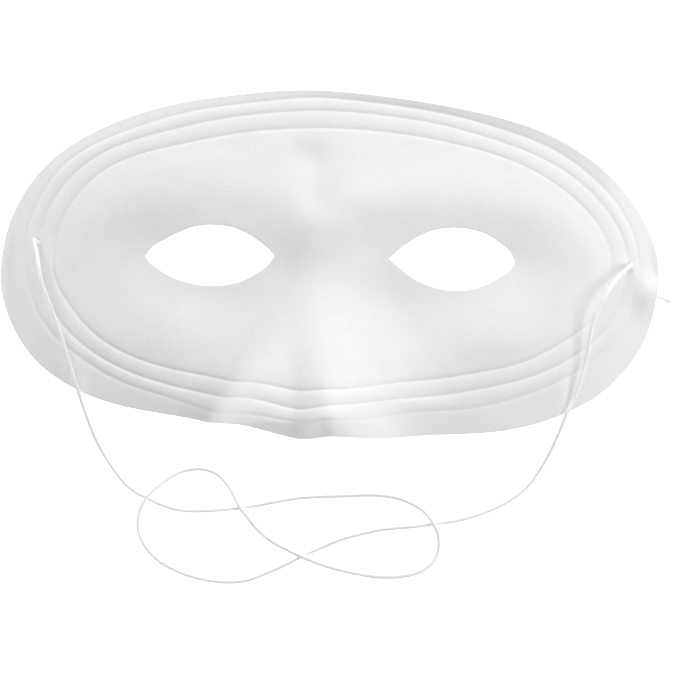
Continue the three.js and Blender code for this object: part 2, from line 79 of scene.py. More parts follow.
CORD_ROUTE = [[-85.65, 1.81, 12.0], [-84.97, -1.64, 13.6], [-84.13, -5.15, 14.4], [-82.92, -8.78, 14.6], [-81.27, -12.58, 14.4], [-79.33, -17.16, 13.8], [-77.39, -21.99, 13.0], [-75.58, -27.37, 12.0], [-73.8, -32.14, 11.3], [-71.93, -37.35, 10.7], [-69.89, -42.76, 7.2], [-67.63, -48.02, 4.4], [-64.91, -53.09, 2.1], [-61.83, -57.55, 1.15], [-58.45, -61.8, 0.68], [-54.8, -64.94, 0.68], [-50.92, -66.88, 0.68], [-45.59, -69.06, 0.68], [-41.18, -70.1, 0.68], [-36.82, -70.24, 0.68], [-30.15, -69.72, 0.68], [-23.79, -68.92, 0.68], [-18.02, -67.84, 0.68], [-12.25, -66.46, 0.68], [-6.47, -65.38, 0.68], [-0.09, -64.72, 0.68], [6.59, -64.34, 0.68], [13.27, -63.82, 0.68], [18.22, -63.95, 0.68], [22.61, -64.69, 0.68], [26.73, -66.33, 0.68], [29.98, -68.58, 0.68], [32.39, -71.75, 0.68], [33.92, -75.23, 0.68], [34.16, -79.05, 0.68], [32.66, -82.91, 0.68], [29.55, -85.65, 0.68], [24.67, -87.28, 0.68], [17.45, -87.82, 0.68], [11.07, -87.15, 0.68], [5.25, -86.03, 0.68], [-0.3, -84.61, 0.68], [-5.57, -82.73, 0.68], [-10.29, -80.54, 0.68], [-14.73, -78.05, 0.68], [-18.32, -75.22, 0.68], [-21.2, -72.08, 0.68], [-23.79, -68.92, 0.68], [-25.68, -65.43, 0.68], [-27.85, -61.95, 0.68], [-30.29, -59.51, 0.68], [-33.56, -57.99, 0.68], [-37.35, -57.82, 0.68], [-41.39, -58.84, 0.68], [-45.08, -61.05, 0.68], [-48.16, -63.82, 0.68], [-50.92, -66.88, 0.68], [-52.51, -70.18, 0.68], [-53.2, -74.04, 0.68], [-52.58, -77.85, 0.68], [-50.54, -81.31, 0.68], [-47.19, -84.72, 0.68], [-43.02, -87.21, 0.68], [-38.61, -88.96, 0.68], [-33.93, -90.12, 0.68], [-29.28, -90.7, 0.68], [-24.66, -90.69, 0.68], [-20.07, -89.8, 0.68], [-15.23, -87.74, 0.68], [-10.4, -85.38, 0.68], [-5.57, -82.73, 0.68], [-0.16, -80.05, 0.68], [5.55, -77.36, 0.68], [11.3, -75.55, 0.68], [17.06, -74.03, 0.68], [22.26, -73.27, 0.68], [27.47, -72.65, 0.68], [32.39, -71.75, 0.68], [37.31, -70.99, 0.68], [41.93, -69.81, 0.68], [46.55, -68.17, 0.68], [51.45, -65.94, 0.68], [56.05, -62.97, 0.68], [60.06, -59.28, 0.68], [62.82, -55.27, 1.9], [65.34, -50.95, 4.4], [67.49, -46.21, 8.2], [69.75, -40.55, 12.0], [71.49, -36.38, 12.1], [73.1, -32.05, 12.9], [74.56, -27.13, 13.7], [75.58, -21.94, 14.6], [76.18, -17.04, 15.4], [77.06, -12.75, 16.3], [78.57, -8.9, 16.7], [80.61, -5.1, 16.2], [82.92, -1.07, 14.4], [85.02, 2.07, 12.0]]
CORD_OVER = [56, 47, 42, 32]

DOME_DROP = 2.8
DOME_REACH = 52.0
FLANGE_RISE = 0.5
FLANGE_TURN = 1.6
FLANGE_TURN_AT = 1.0
FLANGE_TURN_SPAN = 0.95
FLANGE_FALL = 0.9
FLANGE_FALL_AT = -1.55
FLANGE_FALL_SPAN = 0.7
BEAD_RISE = 0.25
BEAD_CROWN = 0.26
GROOVE_DEPTH = 0.2
GROOVE_WIDTH = 0.55
PANEL_STEP = 0.45
PANEL_STEP_WIDTH = 1.8
NOSE_HEIGHT = 11.8
NOSE_TOP = 16.2
NOSE_LENGTH = 57.8
NOSE_POWER = 1.36
NOSE_X = 1.5
NOSE_LEAN = 0.149
NOSE_LEFT = 12.5
NOSE_LEFT_SPREAD = 0.359
NOSE_LEFT_FLARE = 0.0
NOSE_LEFT_SHAPE = 1.4
NOSE_LEFT_FIRMING = 0.7
NOSE_RIGHT = 15.0
NOSE_RIGHT_SPREAD = 0.712
NOSE_RIGHT_SHAPE = 0.96
RIDGE_HEIGHT = 7.0
RIDGE_TOP = 10.9
RIDGE_POWER = 2.0
RIDGE_X = -3.5
RIDGE_LEAN = -0.12
RIDGE_LEFT = 14.0
RIDGE_LEFT_SPREAD = -0.047
RIDGE_RIGHT = 24.08
RIDGE_RIGHT_SPREAD = 0.009
BROW_LEFT = 1.3
BROW_RIGHT = 1.6
BROW_X = 36.9
BROW_Y = 20.6
BROW_CURVE = 0.007
BROW_WIDTH = 10.8
BROW_LENGTH = 45.2
SOCKET_LEFT = 2.44
SOCKET_RIGHT = 1.66
SOCKET_LEFT_X = 29.1
SOCKET_RIGHT_X = 29.0
SOCKET_Y = -10.0
SOCKET_RX = 26.4
SOCKET_RY = 13.5
CHEEK_LEFT = 0.9
CHEEK_RIGHT = 1.21
CHEEK_X = 47.6
CHEEK_Y = -19.8
CHEEK_RX = 12.0
CHEEK_RY = 10.0
TEMPLE_LEFT = 1.6
TEMPLE_RIGHT = 2.2
TEMPLE_X = 54.3
TEMPLE_Y = 4.1
TEMPLE_RX = 11.8
TEMPLE_RY = 11.2
CORNER_LEFT = 1.0
CORNER_RIGHT = -0.68
CORNER_X = 12.5
CORNER_Y = -1.5
CORNER_R = 7.1
FURROW_DEPTH = 1.4
FURROW_X = -2.82
FURROW_LEAN = -0.105
FURROW_WIDTH = 5.3
FURROW_LOW = 13.7
FURROW_HIGH = 35.3
FOREHEAD = 1.9
FOREHEAD_X = 4.4
FOREHEAD_Y = 18.7
FOREHEAD_RX = 22.4
FOREHEAD_RY = 13.2

TAIL_GAP, TAIL_Y, TAIL_SPREAD = 2.8, -1.0, 5.6
LEFT_HOLE, RIGHT_HOLE = (-86.9, 7.83), (88.2, 6.14)
HOLE_RADIUS = 0.95
CORD_DIAMETER = 1.15
CORD_RADIUS = CORD_DIAMETER / 2


def series(c, a):
    v = np.full_like(a, c[0])
    for n in range(1, (len(c) - 1) // 2 + 1):
        v += c[2 * n - 1] * np.cos(n * a) + c[2 * n] * np.sin(n * a)
    return v


def smooth(v, lo, hi):
    t = np.clip((v - lo) / (hi - lo), 0, 1)
    return t * t * (3 - 2 * t)


def bell(v, w):
    return np.exp(-(v / w) ** 2)


def rim_coord(x, y):
    a = np.arctan2(y / CY, x / CX)
    r = np.hypot(x / CX, y / CY)
    e, g3, g2, g1 = (series(c, a) for c in (EDGE, GROOVE_OUTER, GROOVE_MIDDLE, GROOVE_INNER))
    grad = np.where(r > 1e-6, np.hypot(x / CX ** 2, y / CY ** 2) / np.maximum(r, 1e-9), 1 / CY)
    t = np.where(r >= g3, (e - r) / (e - g3), np.where(r >= g2, 1 + (g3 - r) / (g3 - g2), np.where(r >= g1, 2 + (g2 - r) / (g2 - g1), 3.0)))
    inside = np.where(r < g1, (g1 - r) / grad, 0.0)
    from_edge = (e - r) / grad
    past = [(g - r) / grad for g in (g3, g2, g1)]
    return np.maximum(t, 0), inside, from_edge, past, a

# ------------------------------------------------------------------ surface
def arch(x):
    p = np.where(x < 0, ARCH_POWER_LEFT, ARCH_POWER_RIGHT)
    return ARCH_HEIGHT * (1 - np.power(np.abs(x) / ARCH_HALF_WIDTH, p))


def nose(x, y):
    du = x - (NOSE_X + NOSE_LEAN * y)
    left = np.clip(NOSE_LEFT - NOSE_LEFT_SPREAD * y + NOSE_LEFT_FLARE * np.clip(-30 - y, 0, 30), 3, 50)
    right_ = np.clip(NOSE_RIGHT - NOSE_RIGHT_SPREAD * y, 3, 44)
    u = np.clip(np.where(du < 0, -du / left, du / right_), 0, 1)
    z = NOSE_HEIGHT * np.power(np.clip((NOSE_TOP - y) / NOSE_LENGTH, 0, 1.15), NOSE_POWER) * (
        0.5 + 0.5 * np.cos(np.pi * np.power(u, np.where(du < 0, NOSE_LEFT_SHAPE + NOSE_LEFT_FIRMING * (1 - smooth(y, -46, -20)), NOSE_RIGHT_SHAPE))))
    du = x - (RIDGE_X + RIDGE_LEAN * y)
    left = np.clip(RIDGE_LEFT - RIDGE_LEFT_SPREAD * y, 3, 44)
    right_ = np.clip(RIDGE_RIGHT - RIDGE_RIGHT_SPREAD * y, 3, 44)
    u = np.clip(np.where(du < 0, -du / left, du / right_), 0, 1)
    return z + RIDGE_HEIGHT * np.power(np.clip((RIDGE_TOP - y) / 56, 0, 1.15), RIDGE_POWER) * (0.5 + 0.5 * np.cos(np.pi * u))


def mound(x, y, cx, cy, rx, ry):
    return np.exp(-((x - cx) / rx) ** 2 - ((y - cy) / ry) ** 2)


def face(x, y):
    z = FOREHEAD * mound(x, y, FOREHEAD_X, FOREHEAD_Y, FOREHEAD_RX, FOREHEAD_RY)
    for s, brow, socket, socket_x, cheek, temple, corner in (
            (-1, BROW_LEFT, SOCKET_LEFT, SOCKET_LEFT_X, CHEEK_LEFT, TEMPLE_LEFT, CORNER_LEFT),
            (1, BROW_RIGHT, SOCKET_RIGHT, SOCKET_RIGHT_X, CHEEK_RIGHT, TEMPLE_RIGHT, CORNER_RIGHT)):
        m = s * x
        z = z + brow * bell(y - BROW_Y + BROW_CURVE * (m - BROW_X) ** 2, BROW_WIDTH) * bell(m - BROW_X, BROW_LENGTH)
        z = z - socket * mound(m, y, socket_x, SOCKET_Y, SOCKET_RX, SOCKET_RY)
        z = z + cheek * mound(m, y, CHEEK_X, CHEEK_Y, CHEEK_RX, CHEEK_RY)
        z = z - temple * mound(m, y, TEMPLE_X, TEMPLE_Y, TEMPLE_RX, TEMPLE_RY)
        z = z - corner * mound(m, y, CORNER_X, CORNER_Y, CORNER_R, CORNER_R)
    return z - FURROW_DEPTH * bell(x - FURROW_X - FURROW_LEAN * y, FURROW_WIDTH) * smooth(y, FURROW_LOW - 6, FURROW_LOW + 6) * (
        1 - smooth(y, FURROW_HIGH - 6, FURROW_HIGH + 6))


def top_height(x, y):
    x = np.asarray(x, float)
    y = np.asarray(y, float)
    t, inside, from_edge, past, a = rim_coord(x, y)
    z = arch(x) - DOME_DROP * (y / DOME_REACH) ** 2 + nose(x, y) - SEAT
    z += np.where(t < 1, FLANGE_RISE * t + FLANGE_TURN * (1 - t) * bell(a - FLANGE_TURN_AT, FLANGE_TURN_SPAN) * (1 - smooth(x, 78, 90)), 0)
    z -= np.where(t < 1, FLANGE_FALL * (1 - t) * bell(a - FLANGE_FALL_AT, FLANGE_FALL_SPAN), 0)
    z += np.where(t >= 1, FLANGE_RISE + BEAD_RISE * (np.minimum(t, 3) - 1), 0)
    z += BEAD_CROWN * np.where((t > 1) & (t < 3), np.abs(np.sin(np.pi * t)), 0)
    for p in past:
        z -= GROOVE_DEPTH * bell(p, GROOVE_WIDTH)
    z += np.where(t >= 3, PANEL_STEP * (1 - np.exp(-inside / PANEL_STEP_WIDTH)) + face(x, y) * smooth(inside, 0, 8), 0)
    z += TAIL_GAP * bell(y - TAIL_Y, TAIL_SPREAD) * smooth(x, 88, 94)
    return np.maximum(z, SHEET)


def slope(x, y, d=0.2):
    return ((top_height(x + d, y) - top_height(x - d, y)) / (2 * d), (top_height(x, y + d) - top_height(x, y - d)) / (2 * d))


def bottom_height(x, y):
    gx, gy = slope(x, y)
    z = top_height(x, y) - SHEET * np.minimum(1.6, np.sqrt(1 + gx * gx + gy * gy))
    return np.maximum(z, 0.0)


# ------------------------------------------------------------------ helpers
def new_object(name, verts, faces, smooth_faces=True):
    me = bpy.data.meshes.new(name)
    verts = np.asarray(verts, float)
    faces = np.asarray(faces, np.int32)
    k = faces.shape[1]
    me.vertices.add(len(verts))
    me.vertices.foreach_set("co", (verts * MM).ravel())
    me.loops.add(faces.size)
    me.loops.foreach_set("vertex_index", faces.ravel())
    me.polygons.add(len(faces))
    me.polygons.foreach_set("loop_start", np.arange(0, faces.size, k, dtype=np.int32))
    me.polygons.foreach_set("use_smooth", np.full(len(faces), smooth_faces))
    me.update(calc_edges=True)
    me.validate()
    ob = bpy.data.objects.new(name, me)
    coll.objects.link(ob)
    return ob


def resample(points, step=None, count=None, closed=False):
    p = np.asarray(points, float)
    if closed:
        p = np.vstack([p, p[:1]])
    d = np.r_[0, np.cumsum(np.linalg.norm(np.diff(p, axis=0), axis=1))]
    n = count or max(2, int(round(d[-1] / step)))
    s = np.linspace(0, d[-1], n + 1)
    if closed:
        s = s[:-1]
    return np.stack([np.interp(s, d, p[:, i]) for i in range(p.shape[1])], 1)


def catmull(points, per=12):
    p = np.asarray(points, float)
    p = np.vstack([2 * p[0] - p[1], p, 2 * p[-1] - p[-2]])
    out = []
    for i in range(1, len(p) - 2):
        p0, p1, p2, p3 = p[i - 1:i + 3]
        t0 = 0.0
        t1 = t0 + max(1e-6, np.linalg.norm(p1 - p0)) ** 0.5
        t2 = t1 + max(1e-6, np.linalg.norm(p2 - p1)) ** 0.5
        t3 = t2 + max(1e-6, np.linalg.norm(p3 - p2)) ** 0.5
        t = np.linspace(t1, t2, per, endpoint=False)[:, None]
        a1 = (t1 - t) / (t1 - t0) * p0 + (t - t0) / (t1 - t0) * p1
        a2 = (t2 - t) / (t2 - t1) * p1 + (t - t1) / (t2 - t1) * p2
        a3 = (t3 - t) / (t3 - t2) * p2 + (t - t2) / (t3 - t2) * p3
        b1 = (t2 - t) / (t2 - t0) * a1 + (t - t0) / (t2 - t0) * a2
        b2 = (t3 - t) / (t3 - t1) * a2 + (t - t1) / (t3 - t1) * a3
        out.append((t2 - t) / (t2 - t1) * b1 + (t - t1) / (t2 - t1) * b2)
    out.append(p[-2][None])
    return np.vstack(out)


def frames(path):
    t = np.gradient(path, axis=0)
    t /= np.linalg.norm(t, axis=1)[:, None]
    n = np.zeros_like(t)
    ref = np.array([0.0, 0.0, 1.0]) if abs(t[0, 2]) < 0.8 else np.array([1.0, 0, 0])
    n[0] = np.cross(t[0], ref)
    n[0] /= np.linalg.norm(n[0])
    for i in range(1, len(t)):
        v = n[i - 1] - t[i] * np.dot(n[i - 1], t[i])
        n[i] = v / np.linalg.norm(v)
    return t, n, np.cross(t, n)


def tube(name, path, radius, sides=14, braid=0.0, pitch=2.2):
    """A round cord along path, capped at both ends, with a UV map: u along in millimetres, v around."""
    path = np.asarray(path, float)
    t, n, b = frames(path)
    d = np.r_[0, np.cumsum(np.linalg.norm(np.diff(path, axis=0), axis=1))]
    ang = 2 * np.pi * np.arange(sides) / sides
    rad = radius * (1 + braid * np.cos(2 * np.pi * d / pitch)[:, None] * np.cos(2 * ang)[None])
    v = path[:, None] + rad[..., None] * (np.cos(ang)[None, :, None] * n[:, None] + np.sin(ang)[None, :, None] * b[:, None])
    m = len(path)
    verts = np.vstack([v.reshape(-1, 3), path[0] - t[0] * radius * 0.25, path[-1] + t[-1] * radius * 0.25])
    i, j = np.meshgrid(np.arange(m - 1), np.arange(sides), indexing="ij")
    j2 = (j + 1) % sides
    q = np.stack([i * sides + j, i * sides + j2, (i + 1) * sides + j2, (i + 1) * sides + j], -1).reshape(-1, 4)
    tri = np.vstack([np.stack([q[:, 0], q[:, 1], q[:, 2]], 1), np.stack([q[:, 0], q[:, 2], q[:, 3]], 1)])
    k = np.arange(sides)
    k2 = (k + 1) % sides
    cap0 = np.stack([np.full(sides, m * sides), k2, k], 1)
    cap1 = np.stack([np.full(sides, m * sides + 1), (m - 1) * sides + k, (m - 1) * sides + k2], 1)
    faces = np.vstack([tri, cap0, cap1])
    ob = new_object(name, verts, faces)
    uvl = ob.data.uv_layers.new(name="along")
    li = np.zeros(len(ob.data.loops), np.int32)
    ob.data.loops.foreach_get("vertex_index", li)
    u = np.r_[np.repeat(d, sides), d[0], d[-1]]
    w = np.r_[np.tile(np.arange(sides) / sides, m), 0.5, 0.5]
    uv = np.stack([u[li], w[li]], 1)
    tri_w = uv[:, 1].reshape(-1, 3)
    wrap = (tri_w.max(1) - tri_w.min(1)) > 0.5
    fix = wrap[:, None] & (tri_w < 0.5)
    tri_w = np.where(fix, tri_w + 1.0, tri_w)
    uv[:, 1] = tri_w.ravel()
    uvl.data.foreach_set("uv", uv.ravel())
    return ob, float(d[-1])


# ------------------------------------------------------------------ cord
def hole_frame(hole):
    x, y = hole
    gx, gy = slope(np.array([x]), np.array([y]), 0.8)
    axis = np.array([-gx[0] * 0.35, -gy[0] * 0.35, 1.0])
    axis /= np.linalg.norm(axis)
    return np.array([x, y, top_height(np.array([x]), np.array([y]))[0]]), axis, bottom_height(np.array([x]), np.array([y]))[0]


left_at, left_axis, left_low = hole_frame(LEFT_HOLE)
right_at, right_axis, right_low = hole_frame(RIGHT_HOLE)
route = np.array(CORD_ROUTE, float)
along = np.r_[0, np.cumsum(np.linalg.norm(np.diff(route, axis=0), axis=1))]
HUMP, HUMP_REACH = 1.22, 11.0
low = route[:, 2] < 1.0
route[low, 2] = CORD_RADIUS + 0.03
dense = catmull(route, 8)
dense_s = np.r_[0, np.cumsum(np.linalg.norm(np.diff(dense, axis=0), axis=1))]
for k in CORD_OVER:
    i = int(np.argmin(np.linalg.norm(dense - route[k], axis=1) + 0.0))
    cand = np.where(np.linalg.norm(dense[:, :2] - route[k][:2], axis=1) < 1.0)[0]
    i = cand[np.argmin(np.abs(cand - k * 8))]
    s = np.abs(dense_s - dense_s[i])
    dense[:, 2] += np.where(s < HUMP_REACH, HUMP * np.cos(np.pi * np.clip(s, 0, HUMP_REACH) / (2 * HUMP_REACH)) ** 2, 0)
knot_left = np.array([LEFT_HOLE[0], LEFT_HOLE[1], max(1.75, left_low - 0.30 - 1.45)])
knot_right = np.array([RIGHT_HOLE[0], RIGHT_HOLE[1], max(1.75, right_low - 0.30 - 1.45)])
cord_path = np.vstack([
    knot_left + [0, 0, 1.15],
    left_at - left_axis * 0.5 + [0.05, -0.28, 0],
    left_at + left_axis * 1.0 + [0.05, -0.28, 0],
    left_at + left_axis * 3.0,
    dense[:: 3],
    right_at + right_axis * 3.0,
    right_at + right_axis * 1.0 + [-0.2, -0.2, 0],
    right_at - right_axis * 0.5 + [-0.2, -0.2, 0],
    knot_right + [0, 0, 1.15],
])
cord_path = resample(catmull(cord_path, 10), step=0.55)
cord, cord_length = tube("elastic_cord_braid", cord_path, CORD_RADIUS, sides=12)
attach(cord, "root")
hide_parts("elastic_cord")


# Overhand knots behind the two holes: a tight open trefoil with its cut end.
def overhand(name, centre, turn, flip, tail, nodes):
    t = np.linspace(0.0, 2 * np.pi, 121)
    k = np.stack([np.sin(t) + 2 * np.sin(2 * t), np.cos(t) - 2 * np.cos(2 * t), -np.sin(3 * t)], 1)
    k *= np.array([0.40, 0.40, 0.62])
    # open it on an outer lobe
    k = np.roll(k[:-1], -40, axis=0)
    k = k[3:-3]
    c, s = math.cos(turn), math.sin(turn)
    k = k @ np.array([[c, s, 0], [-s, c, 0], [0, 0, 1]])
    k[:, 2] *= flip
    k = k + centre
    if k[0, 2] < k[-1, 2]:
        k = k[::-1]
    pts = np.vstack([[centre + [0, 0, 1.15]], k[4:-2], tail])
    pts = resample(catmull(resample(pts, step=0.8), 6), step=0.3)
    pts[:, 2] = np.maximum(pts[:, 2], CORD_RADIUS + 0.02)
    ob, length = tube(name, pts, CORD_RADIUS * 0.97, sides=12)
    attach(ob, "root")
    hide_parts(*nodes)
    return ob


left_tail = [[-82.6, 10.9, 0.75], [-80.4, 12.4, 0.6], [-77.6, 13.6, 0.6], [-74.9, 13.8, 0.6]]
right_tail = [[90.2, 4.2, 0.72], [92.4, 1.6, 0.6], [94.6, -0.1, 0.6], [97.0, -1.0, 0.6], [99.2, -2.0, 0.6], [101.0, -2.7, 0.6]]
left_knot = overhand("left_overhand_knot", knot_left, 0.4, 1, left_tail, ("left_knot", "left_cord_end"))
right_knot = overhand("right_overhand_knot", knot_right, -0.8, 1, right_tail, ("right_knot", "right_cord_end"))
print("cord length", cord_length)


# ------------------------------------------------------------------ shell
def contour_points(series_c, a):
    r = series(series_c, a)
    return np.stack([CX * r * np.cos(a), CY * r * np.sin(a)], 1)


def eye_outline(points, n):
    """Smooth almond through the outline points, with its two corners kept sharp."""
    p = np.array(points)
    i, j = int(np.argmax(p[:, 0])), int(np.argmin(p[:, 0]))
    p = np.roll(p, -i, axis=0)
    j = (j - i) % len(p)
    a = catmull(p[: j + 1], 16)
    b = catmull(np.vstack([p[j:], p[:1]]), 16)
    a = resample(a, count=n // 2)
    b = resample(b, count=n // 2)
    return np.vstack([a[:-1], b[:-1]])


def inside_poly(px, py, poly):
    inside = np.zeros(px.shape, bool)
    x0, y0 = poly[:, 0], poly[:, 1]
    x1, y1 = np.roll(x0, -1), np.roll(y0, -1)
    for a, b, c, d in zip(x0, y0, x1, y1):
        cond = (b > py) != (d > py)
        with np.errstate(divide="ignore", invalid="ignore"):
            xi = (c - a) * (py - b) / (d - b) + a
        inside ^= cond & (px < xi)
    return inside


def dist_poly(px, py, poly):
    best = np.full(px.shape, 1e9)
    q = np.roll(poly, -1, axis=0)
    for (a, b), (c, d) in zip(poly, q):
        ex, ey = c - a, d - b
        L = ex * ex + ey * ey + 1e-12
        u = np.clip(((px - a) * ex + (py - b) * ey) / L, 0, 1)
        best = np.minimum(best, np.hypot(px - a - u * ex, py - b - u * ey))
    return best


AROUND = 560
edge_r = lambda a: series(EDGE, a)
angles = np.linspace(0, 2 * np.pi, 4001)
e_pts = contour_points(EDGE, angles)
e_len = np.r_[0, np.cumsum(np.linalg.norm(np.diff(e_pts, axis=0), axis=1))]
ang = np.interp(np.linspace(0, e_len[-1], AROUND + 1)[:-1], e_len, angles)
re, r3, r2, r1 = (series(c, ang) for c in (EDGE, GROOVE_OUTER, GROOVE_MIDDLE, GROOVE_INNER))
ca, sa = np.cos(ang), np.sin(ang)
inv_grad = 1 / (np.hypot(ca / CX, sa / CY))       # mm per unit radius, along the normal
rings = []


def span(ra, rb, us):
    for u in us:
        rings.append(ra + (rb - ra) * u)


span(re, r3, [0, 0.012, 0.03, 0.06, 0.12, 0.22, 0.34, 0.46, 0.58, 0.70, 0.80, 0.88, 0.94, 0.98])
cos_u = 0.5 - 0.5 * np.cos(np.pi * np.linspace(0, 1, 15))
span(r3, r2, cos_u[:-1])
span(r2, r1, cos_u[:-1])
rings.append(r1)
for mm in (0.2, 0.45, 0.75, 1.1, 1.6, 2.2, 3.0, 4.0, 5.2):
    rings.append(r1 - mm / inv_grad)
R = np.array(rings)
ring_xy = np.stack([CX * R * ca, CY * R * sa], -1)          # rings x around x 2
nr = len(rings)
rim_xy = ring_xy.reshape(-1, 2)
i, j = np.meshgrid(np.arange(nr - 1), np.arange(AROUND), indexing="ij")
j2 = (j + 1) % AROUND
q = np.stack([i * AROUND + j, i * AROUND + j2, (i + 1) * AROUND + j2, (i + 1) * AROUND + j], -1).reshape(-1, 4)
rim_tri = np.vstack([q[:, [0, 1, 2]], q[:, [0, 2, 3]]])

# inside panel: triangulated between the last ring and the eye holes
inner = ring_xy[-1]
eyes = [eye_outline(LEFT_EYE, 150), eye_outline(RIGHT_EYE, 150)]
STEP = 1.15
gx, gy = np.meshgrid(np.arange(-90, 90, STEP), np.arange(-50, 50, STEP * 0.866))
gx = gx + np.where(np.arange(gx.shape[0]) % 2, STEP / 2, 0)[:, None]
gx, gy = gx.ravel(), gy.ravel()
keep = inside_poly(gx, gy, inner)
gx, gy = gx[keep], gy[keep]
keep = dist_poly(gx, gy, inner) > STEP * 0.6
extra = []
for e in eyes:
    keep &= ~inside_poly(gx, gy, e)
gx, gy = gx[keep], gy[keep]
keep = np.ones(gx.shape, bool)
for e in eyes:
    keep &= dist_poly(gx, gy, e) > 2.2
    t = np.roll(e, -1, axis=0) - np.roll(e, 1, axis=0)
    t /= np.linalg.norm(t, axis=1)[:, None]
    nrm = np.stack([t[:, 1], -t[:, 0]], 1)
    for off in (0.06, 0.15, 0.3, 0.55, 0.95, 1.5):
        p = e + nrm * off
        good = np.abs(dist_poly(p[:, 0], p[:, 1], e) - off) < off * 0.25
        extra.append(p[good])
pts2 = np.vstack([inner, *eyes, np.stack([gx[keep], gy[keep]], 1), *extra])
loops = [np.arange(AROUND)]
start = AROUND
for e in eyes:
    loops.append(np.arange(start, start + len(e)))
    start += len(e)
edges = [(int(a), int(b)) for L in loops for a, b in zip(L, np.roll(L, -1))]
vo, eo, fo, ov, oe, of_ = delaunay_2d_cdt([Vector(p) for p in pts2], edges, [], 0, 1e-6)
vo = np.array([tuple(v) for v in vo])
fo = np.array([f for f in fo if len(f) == 3])
cen = vo[fo].mean(1)
ok = inside_poly(cen[:, 0], cen[:, 1], inner)
for e in eyes:
    ok &= ~inside_poly(cen[:, 0], cen[:, 1], e)
fo = fo[ok]
area = np.cross(vo[fo[:, 1]] - vo[fo[:, 0]], vo[fo[:, 2]] - vo[fo[:, 0]])
fo[area < 0] = fo[area < 0][:, ::-1]
# join the panel to the rim: input vertex k of the last ring is output vertex with ov == k
first = {}
for out, src in enumerate(ov):
    for s_ in src:
        first.setdefault(s_, out)
base_n = len(rim_xy)
remap = np.arange(len(vo)) + base_n
for k in range(AROUND):
    remap[first[k]] = (nr - 1) * AROUND + k
xy = np.vstack([rim_xy, vo])
tri = np.vstack([rim_tri, remap[fo]])
# cord holes: drop the faces in them and draw their border onto a circle
for hx, hy in (LEFT_HOLE, RIGHT_HOLE):
    c = xy[tri].mean(1)
    inn = np.hypot(c[:, 0] - hx, c[:, 1] - hy) < HOLE_RADIUS
    tri = tri[~inn]
    e1 = np.vstack([tri[:, [0, 1]], tri[:, [1, 2]], tri[:, [2, 0]]])
    key = np.sort(e1, 1)
    u, inv, cnt = np.unique(key, axis=0, return_inverse=True, return_counts=True)
    be = e1[cnt[inv.ravel()] == 1]
    bv = np.unique(be)
    near = bv[np.hypot(xy[bv, 0] - hx, xy[bv, 1] - hy) < HOLE_RADIUS * 2.5]
    d = xy[near] - [hx, hy]
    d /= np.linalg.norm(d, axis=1)[:, None]
    xy[near] = np.array([hx, hy]) + d * HOLE_RADIUS
used = np.unique(tri)
new_id = np.full(len(xy), -1)
new_id[used] = np.arange(len(used))
xy = xy[used]
tri = new_id[tri]
c = xy[tri]
A = np.cross(c[:, 1] - c[:, 0], c[:, 2] - c[:, 0])
tri[A < 0] = tri[A < 0][:, ::-1]
tri = tri[np.abs(A) > 1e-9]
x, y = xy[:, 0], xy[:, 1]
zt, zb = top_height(x, y), bottom_height(x, y)
# soften the cut edges a little
_, _, from_edge, _, _ = rim_coord(x, y)
cut = np.minimum(np.minimum(dist_poly(x, y, eyes[0]), dist_poly(x, y, eyes[1])), np.maximum(from_edge, 0))
for hx, hy in (LEFT_HOLE, RIGHT_HOLE):
    cut = np.minimum(cut, np.abs(np.hypot(x - hx, y - hy) - HOLE_RADIUS))
EDGE_ROUND = 0.28
drop = EDGE_ROUND * (1 - np.sqrt(np.clip(1 - (1 - np.clip(cut / EDGE_ROUND, 0, 1)) ** 2, 0, 1)))
zt2 = zt - drop
zb2 = np.where(zb > 0.02, zb + np.minimum(drop * 0.6, 0.18), zb)
n = len(xy)
verts = np.vstack([np.c_[x, y, zt2], np.c_[x, y, np.minimum(zb2, zt2 - 0.2)]])
e1 = np.vstack([tri[:, [0, 1]], tri[:, [1, 2]], tri[:, [2, 0]]])
u, inv, cnt = np.unique(np.sort(e1, 1), axis=0, return_inverse=True, return_counts=True)
be = e1[cnt[inv.ravel()] == 1]
side = np.vstack([np.stack([be[:, 0], be[:, 0] + n, be[:, 1] + n], 1), np.stack([be[:, 0], be[:, 1] + n, be[:, 1]], 1)])
faces = np.vstack([tri, tri[:, ::-1] + n, side])
shell = new_object("moulded_shell", verts, faces)
print("shell triangles", len(faces), "height", verts[:, 2].max())
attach(shell, "root")
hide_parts("mask_shell")


# ------------------------------------------------------------------ materials
def material(name):
    m = bpy.data.materials.new(name)
    m.use_nodes = True
    nt = m.node_tree
    nt.nodes.clear()
    out = nt.nodes.new("ShaderNodeOutputMaterial")
    bsdf = nt.nodes.new("ShaderNodeBsdfPrincipled")
    nt.links.new(bsdf.outputs[0], out.inputs[0])
    return m, nt, bsdf


def node(nt, kind, **inputs):
    n = nt.nodes.new(kind)
    for k, v in inputs.items():
        if k in n.inputs:
            n.inputs[k].default_value = v
        else:
            setattr(n, k, v)
    return n


def noise(nt, coords, scale, detail=3.0, rough=0.5, stretch=None, distortion=0.0):
    src = coords
    if stretch:
        mp = nt.nodes.new("ShaderNodeMapping")
        mp.inputs["Scale"].default_value = stretch[0]
        mp.inputs["Rotation"].default_value = stretch[1]
        nt.links.new(coords, mp.inputs["Vector"])
        src = mp.outputs["Vector"]
    n = nt.nodes.new("ShaderNodeTexNoise")
    n.inputs["Scale"].default_value = scale
    n.inputs["Detail"].default_value = detail
    n.inputs["Roughness"].default_value = rough
    n.inputs["Distortion"].default_value = distortion
    nt.links.new(src, n.inputs["Vector"])
    return n.outputs["Fac"]


